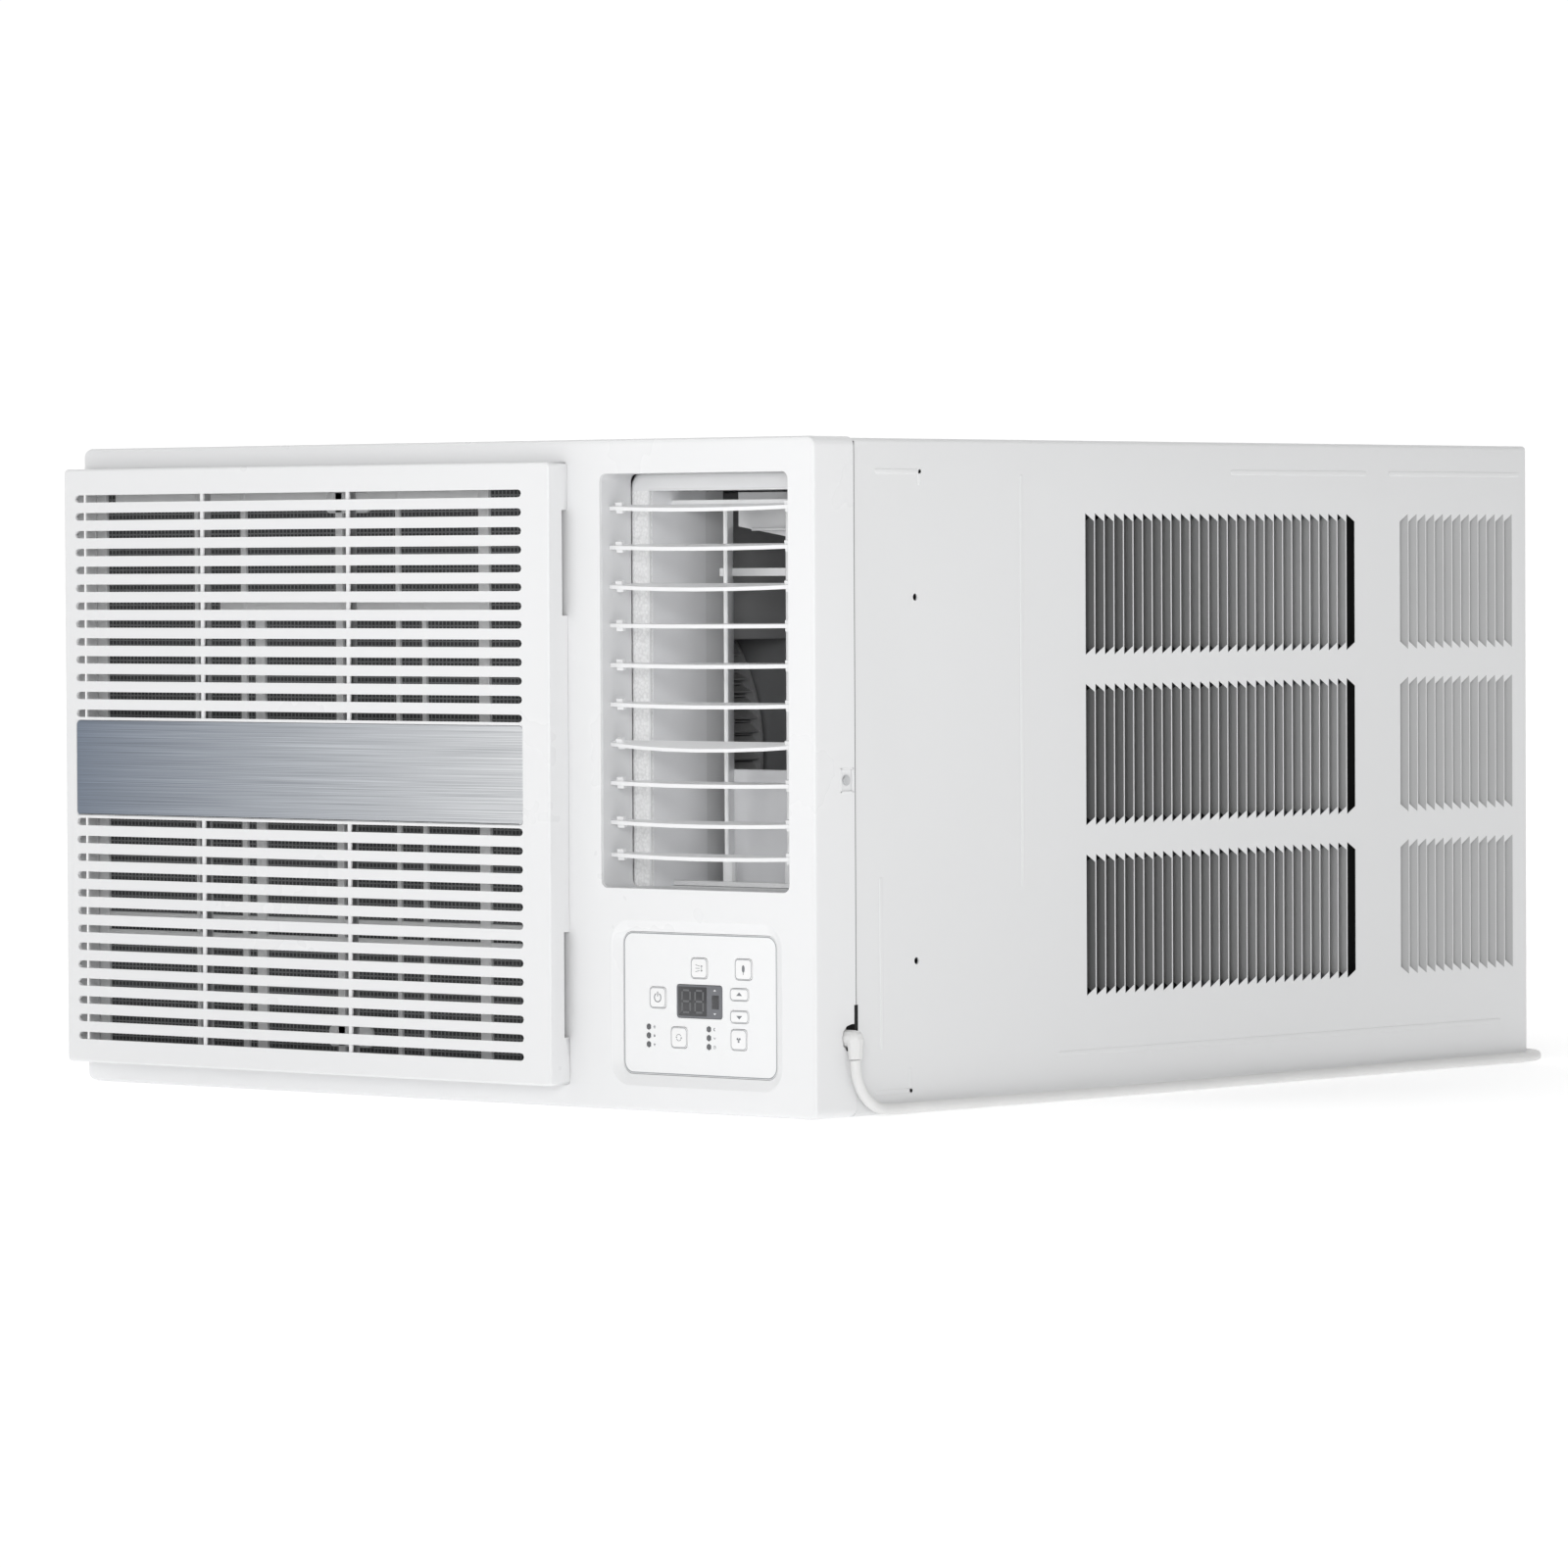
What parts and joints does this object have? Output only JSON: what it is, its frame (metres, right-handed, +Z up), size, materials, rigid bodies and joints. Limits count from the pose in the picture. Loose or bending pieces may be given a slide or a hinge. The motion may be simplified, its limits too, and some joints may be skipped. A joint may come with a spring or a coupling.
{
  "type": "window air conditioner",
  "caption": "Window air conditioner with a hinged intake grille, tilting louvers, swinging vanes, a key panel, a vented steel sleeve, its inner chassis and a coiled mains cord.",
  "frame": {"origin": "middle of the base footprint, at the surface that the unit stands on", "axes": "+Z up, front faces -Y, +X to the right seen from the front"},
  "size_m": [0.6728, 0.8861, 0.43],
  "materials": {
    "white_plastic": "satin moulded ABS",
    "key_plastic": "matt moulded ABS",
    "brushed_plate": "horizontal brushed anodised sheet",
    "display": "glossy smoked acrylic",
    "lamp": "unlit translucent light guide",
    "painted_steel": "off-white powder coat",
    "galvanised": "zinc-coated sheet",
    "fin": "thin fins",
    "copper": "drawn copper tube",
    "black_paint": "black stove enamel",
    "black_plastic": "glass-filled plastic",
    "grey_plastic": "satin moulded plastic",
    "filter_mesh": "woven nylon mesh in a moulded frame",
    "foam": "expanded polystyrene",
    "rubber": "matt moulded rubber",
    "circuit_board": "solder-masked board",
    "steel": "bright plated steel",
    "cord_white": "white PVC sheath"
  },
  "bodies": {
    "chassis": {"front_bezel": "white_plastic", "control_panel": "white_plastic", "vane_carrier": "white_plastic", "display_window": "display", "light_guide": "lamp", "cabinet": "painted_steel", "base_pan": "galvanised", "control_box": "galvanised", "fan_motor": "galvanised", "motor_stand": "galvanised", "bulkhead": "galvanised", "fan_shroud": "galvanised", "run_capacitor": "galvanised", "swing_motor": "galvanised", "evaporator_coil": "fin", "condenser_coil": "fin", "suction_pipe": "copper", "discharge_pipe": "copper", "liquid_line": "copper", "compressor": "black_paint", "accumulator": "black_paint", "blower_scroll": "grey_plastic", "air_filter": "filter_mesh", "discharge_duct": "foam", "compressor_foot_1": "rubber", "compressor_foot_2": "rubber", "compressor_foot_3": "rubber", "control_board": "circuit_board", "bezel_screw_right": "steel", "strain_relief": "cord_white", "mains_cord": "cord_white", "cord_coil": "cord_white", "plug": "cord_white"},
    "grille": {"intake_grille": "white_plastic", "accent_plate": "brushed_plate"},
    "rotor": {"fan_shaft": "steel", "blower_wheel": "black_plastic", "condenser_fan": "black_plastic"},
    "vane_a": {"vane_1": "white_plastic"},
    "vane_b": {"vane_2": "white_plastic"},
    "link": {"swing_link": "white_plastic"},
    "crank": {"swing_crank": "white_plastic"},
    "blade_1": {"louver_1": "white_plastic"},
    "blade_2": {"louver_2": "white_plastic"},
    "blade_3": {"louver_3": "white_plastic"},
    "blade_4": {"louver_4": "white_plastic"},
    "blade_5": {"louver_5": "white_plastic"},
    "blade_6": {"louver_6": "white_plastic"},
    "blade_7": {"louver_7": "white_plastic"},
    "blade_8": {"louver_8": "white_plastic"},
    "blade_9": {"louver_9": "white_plastic"},
    "blade_10": {"louver_10": "white_plastic"},
    "swing_button": {"swing_key": "key_plastic"},
    "energy_button": {"energy_key": "key_plastic"},
    "power_button": {"power_key": "key_plastic"},
    "temperature_up_button": {"temperature_up_key": "key_plastic"},
    "temperature_down_button": {"temperature_down_key": "key_plastic"},
    "mode_button": {"mode_key": "key_plastic"},
    "fan_speed_button": {"fan_speed_key": "key_plastic"}
  },
  "joints": [
    {"name": "grille_hinge", "type": "hinge", "parent": "chassis", "child": "grille", "pos_m": [-0.3245, -0.3747, 0.215], "axis": [0, 0, -1], "range_deg": [0, 90]},
    {"name": "louver_1_tilt", "type": "hinge", "parent": "chassis", "child": "blade_1", "pos_m": [0.22745, -0.3575, 0.3863], "axis": [1, 0, 0], "range_deg": [-35, 25]},
    {"name": "louver_2_tilt", "type": "hinge", "parent": "chassis", "child": "blade_2", "pos_m": [0.22745, -0.3575, 0.36107], "axis": [1, 0, 0], "range_deg": [-35, 25]},
    {"name": "louver_3_tilt", "type": "hinge", "parent": "chassis", "child": "blade_3", "pos_m": [0.22745, -0.3575, 0.33584], "axis": [1, 0, 0], "range_deg": [-35, 25]},
    {"name": "louver_4_tilt", "type": "hinge", "parent": "chassis", "child": "blade_4", "pos_m": [0.22745, -0.3575, 0.3106], "axis": [1, 0, 0], "range_deg": [-35, 25]},
    {"name": "louver_5_tilt", "type": "hinge", "parent": "chassis", "child": "blade_5", "pos_m": [0.22745, -0.3575, 0.28537], "axis": [1, 0, 0], "range_deg": [-35, 25]},
    {"name": "louver_6_tilt", "type": "hinge", "parent": "chassis", "child": "blade_6", "pos_m": [0.22745, -0.3575, 0.26014], "axis": [1, 0, 0], "range_deg": [-35, 25]},
    {"name": "louver_7_tilt", "type": "hinge", "parent": "chassis", "child": "blade_7", "pos_m": [0.22745, -0.3575, 0.23491], "axis": [1, 0, 0], "range_deg": [-35, 25]},
    {"name": "louver_8_tilt", "type": "hinge", "parent": "chassis", "child": "blade_8", "pos_m": [0.22745, -0.3575, 0.20967], "axis": [1, 0, 0], "range_deg": [-35, 25]},
    {"name": "louver_9_tilt", "type": "hinge", "parent": "chassis", "child": "blade_9", "pos_m": [0.22745, -0.3575, 0.18444], "axis": [1, 0, 0], "range_deg": [-35, 25]},
    {"name": "louver_10_tilt", "type": "hinge", "parent": "chassis", "child": "blade_10", "pos_m": [0.22745, -0.3575, 0.1635], "axis": [1, 0, 0], "range_deg": [-35, 25]},
    {"name": "vane_swing", "type": "hinge", "parent": "chassis", "child": "vane_a", "pos_m": [0.20695, -0.3115, 0.27], "axis": [0, 0, -1], "range_deg": [0, 73]},
    {"name": "vane_b_swing", "type": "hinge", "parent": "chassis", "child": "vane_b", "pos_m": [0.25995, -0.3115, 0.27], "axis": [0, 0, -1], "range_deg": [0, 73]},
    {"name": "link_pivot", "type": "hinge", "parent": "vane_a", "child": "link", "pos_m": [0.19627, -0.29701, 0.3445], "axis": [0, 0, -1], "range_deg": [-73, 0]},
    {"name": "crank_turn", "type": "hinge", "parent": "chassis", "child": "crank", "pos_m": [0.24995, -0.2715, 0.35], "axis": [0, 0, -1], "range_deg": [0, 73]},
    {"name": "fan_spin", "type": "hinge", "parent": "chassis", "child": "rotor", "pos_m": [-0.02, 0, 0.225], "axis": [0, 1, 0], "continuous": true},
    {"name": "swing_press", "type": "slide", "parent": "chassis", "child": "swing_button", "axis": [0, 1, 0], "range_m": [0, 0.0006], "stiffness_N_per_m": 400},
    {"name": "energy_press", "type": "slide", "parent": "chassis", "child": "energy_button", "axis": [0, 1, 0], "range_m": [0, 0.0006], "stiffness_N_per_m": 400},
    {"name": "power_press", "type": "slide", "parent": "chassis", "child": "power_button", "axis": [0, 1, 0], "range_m": [0, 0.0006], "stiffness_N_per_m": 400},
    {"name": "temperature_up_press", "type": "slide", "parent": "chassis", "child": "temperature_up_button", "axis": [0, 1, 0], "range_m": [0, 0.0006], "stiffness_N_per_m": 400},
    {"name": "temperature_down_press", "type": "slide", "parent": "chassis", "child": "temperature_down_button", "axis": [0, 1, 0], "range_m": [0, 0.0006], "stiffness_N_per_m": 400},
    {"name": "mode_press", "type": "slide", "parent": "chassis", "child": "mode_button", "axis": [0, 1, 0], "range_m": [0, 0.0006], "stiffness_N_per_m": 400},
    {"name": "fan_speed_press", "type": "slide", "parent": "chassis", "child": "fan_speed_button", "axis": [0, 1, 0], "range_m": [0, 0.0006], "stiffness_N_per_m": 400}
  ],
  "couplings": [
    {"joint": "vane_b_swing", "follows": "vane_swing", "ratio": 1},
    {"joint": "link_pivot", "follows": "vane_swing", "ratio": -1},
    {"joint": "crank_turn", "follows": "vane_swing", "ratio": 1}
  ]
}
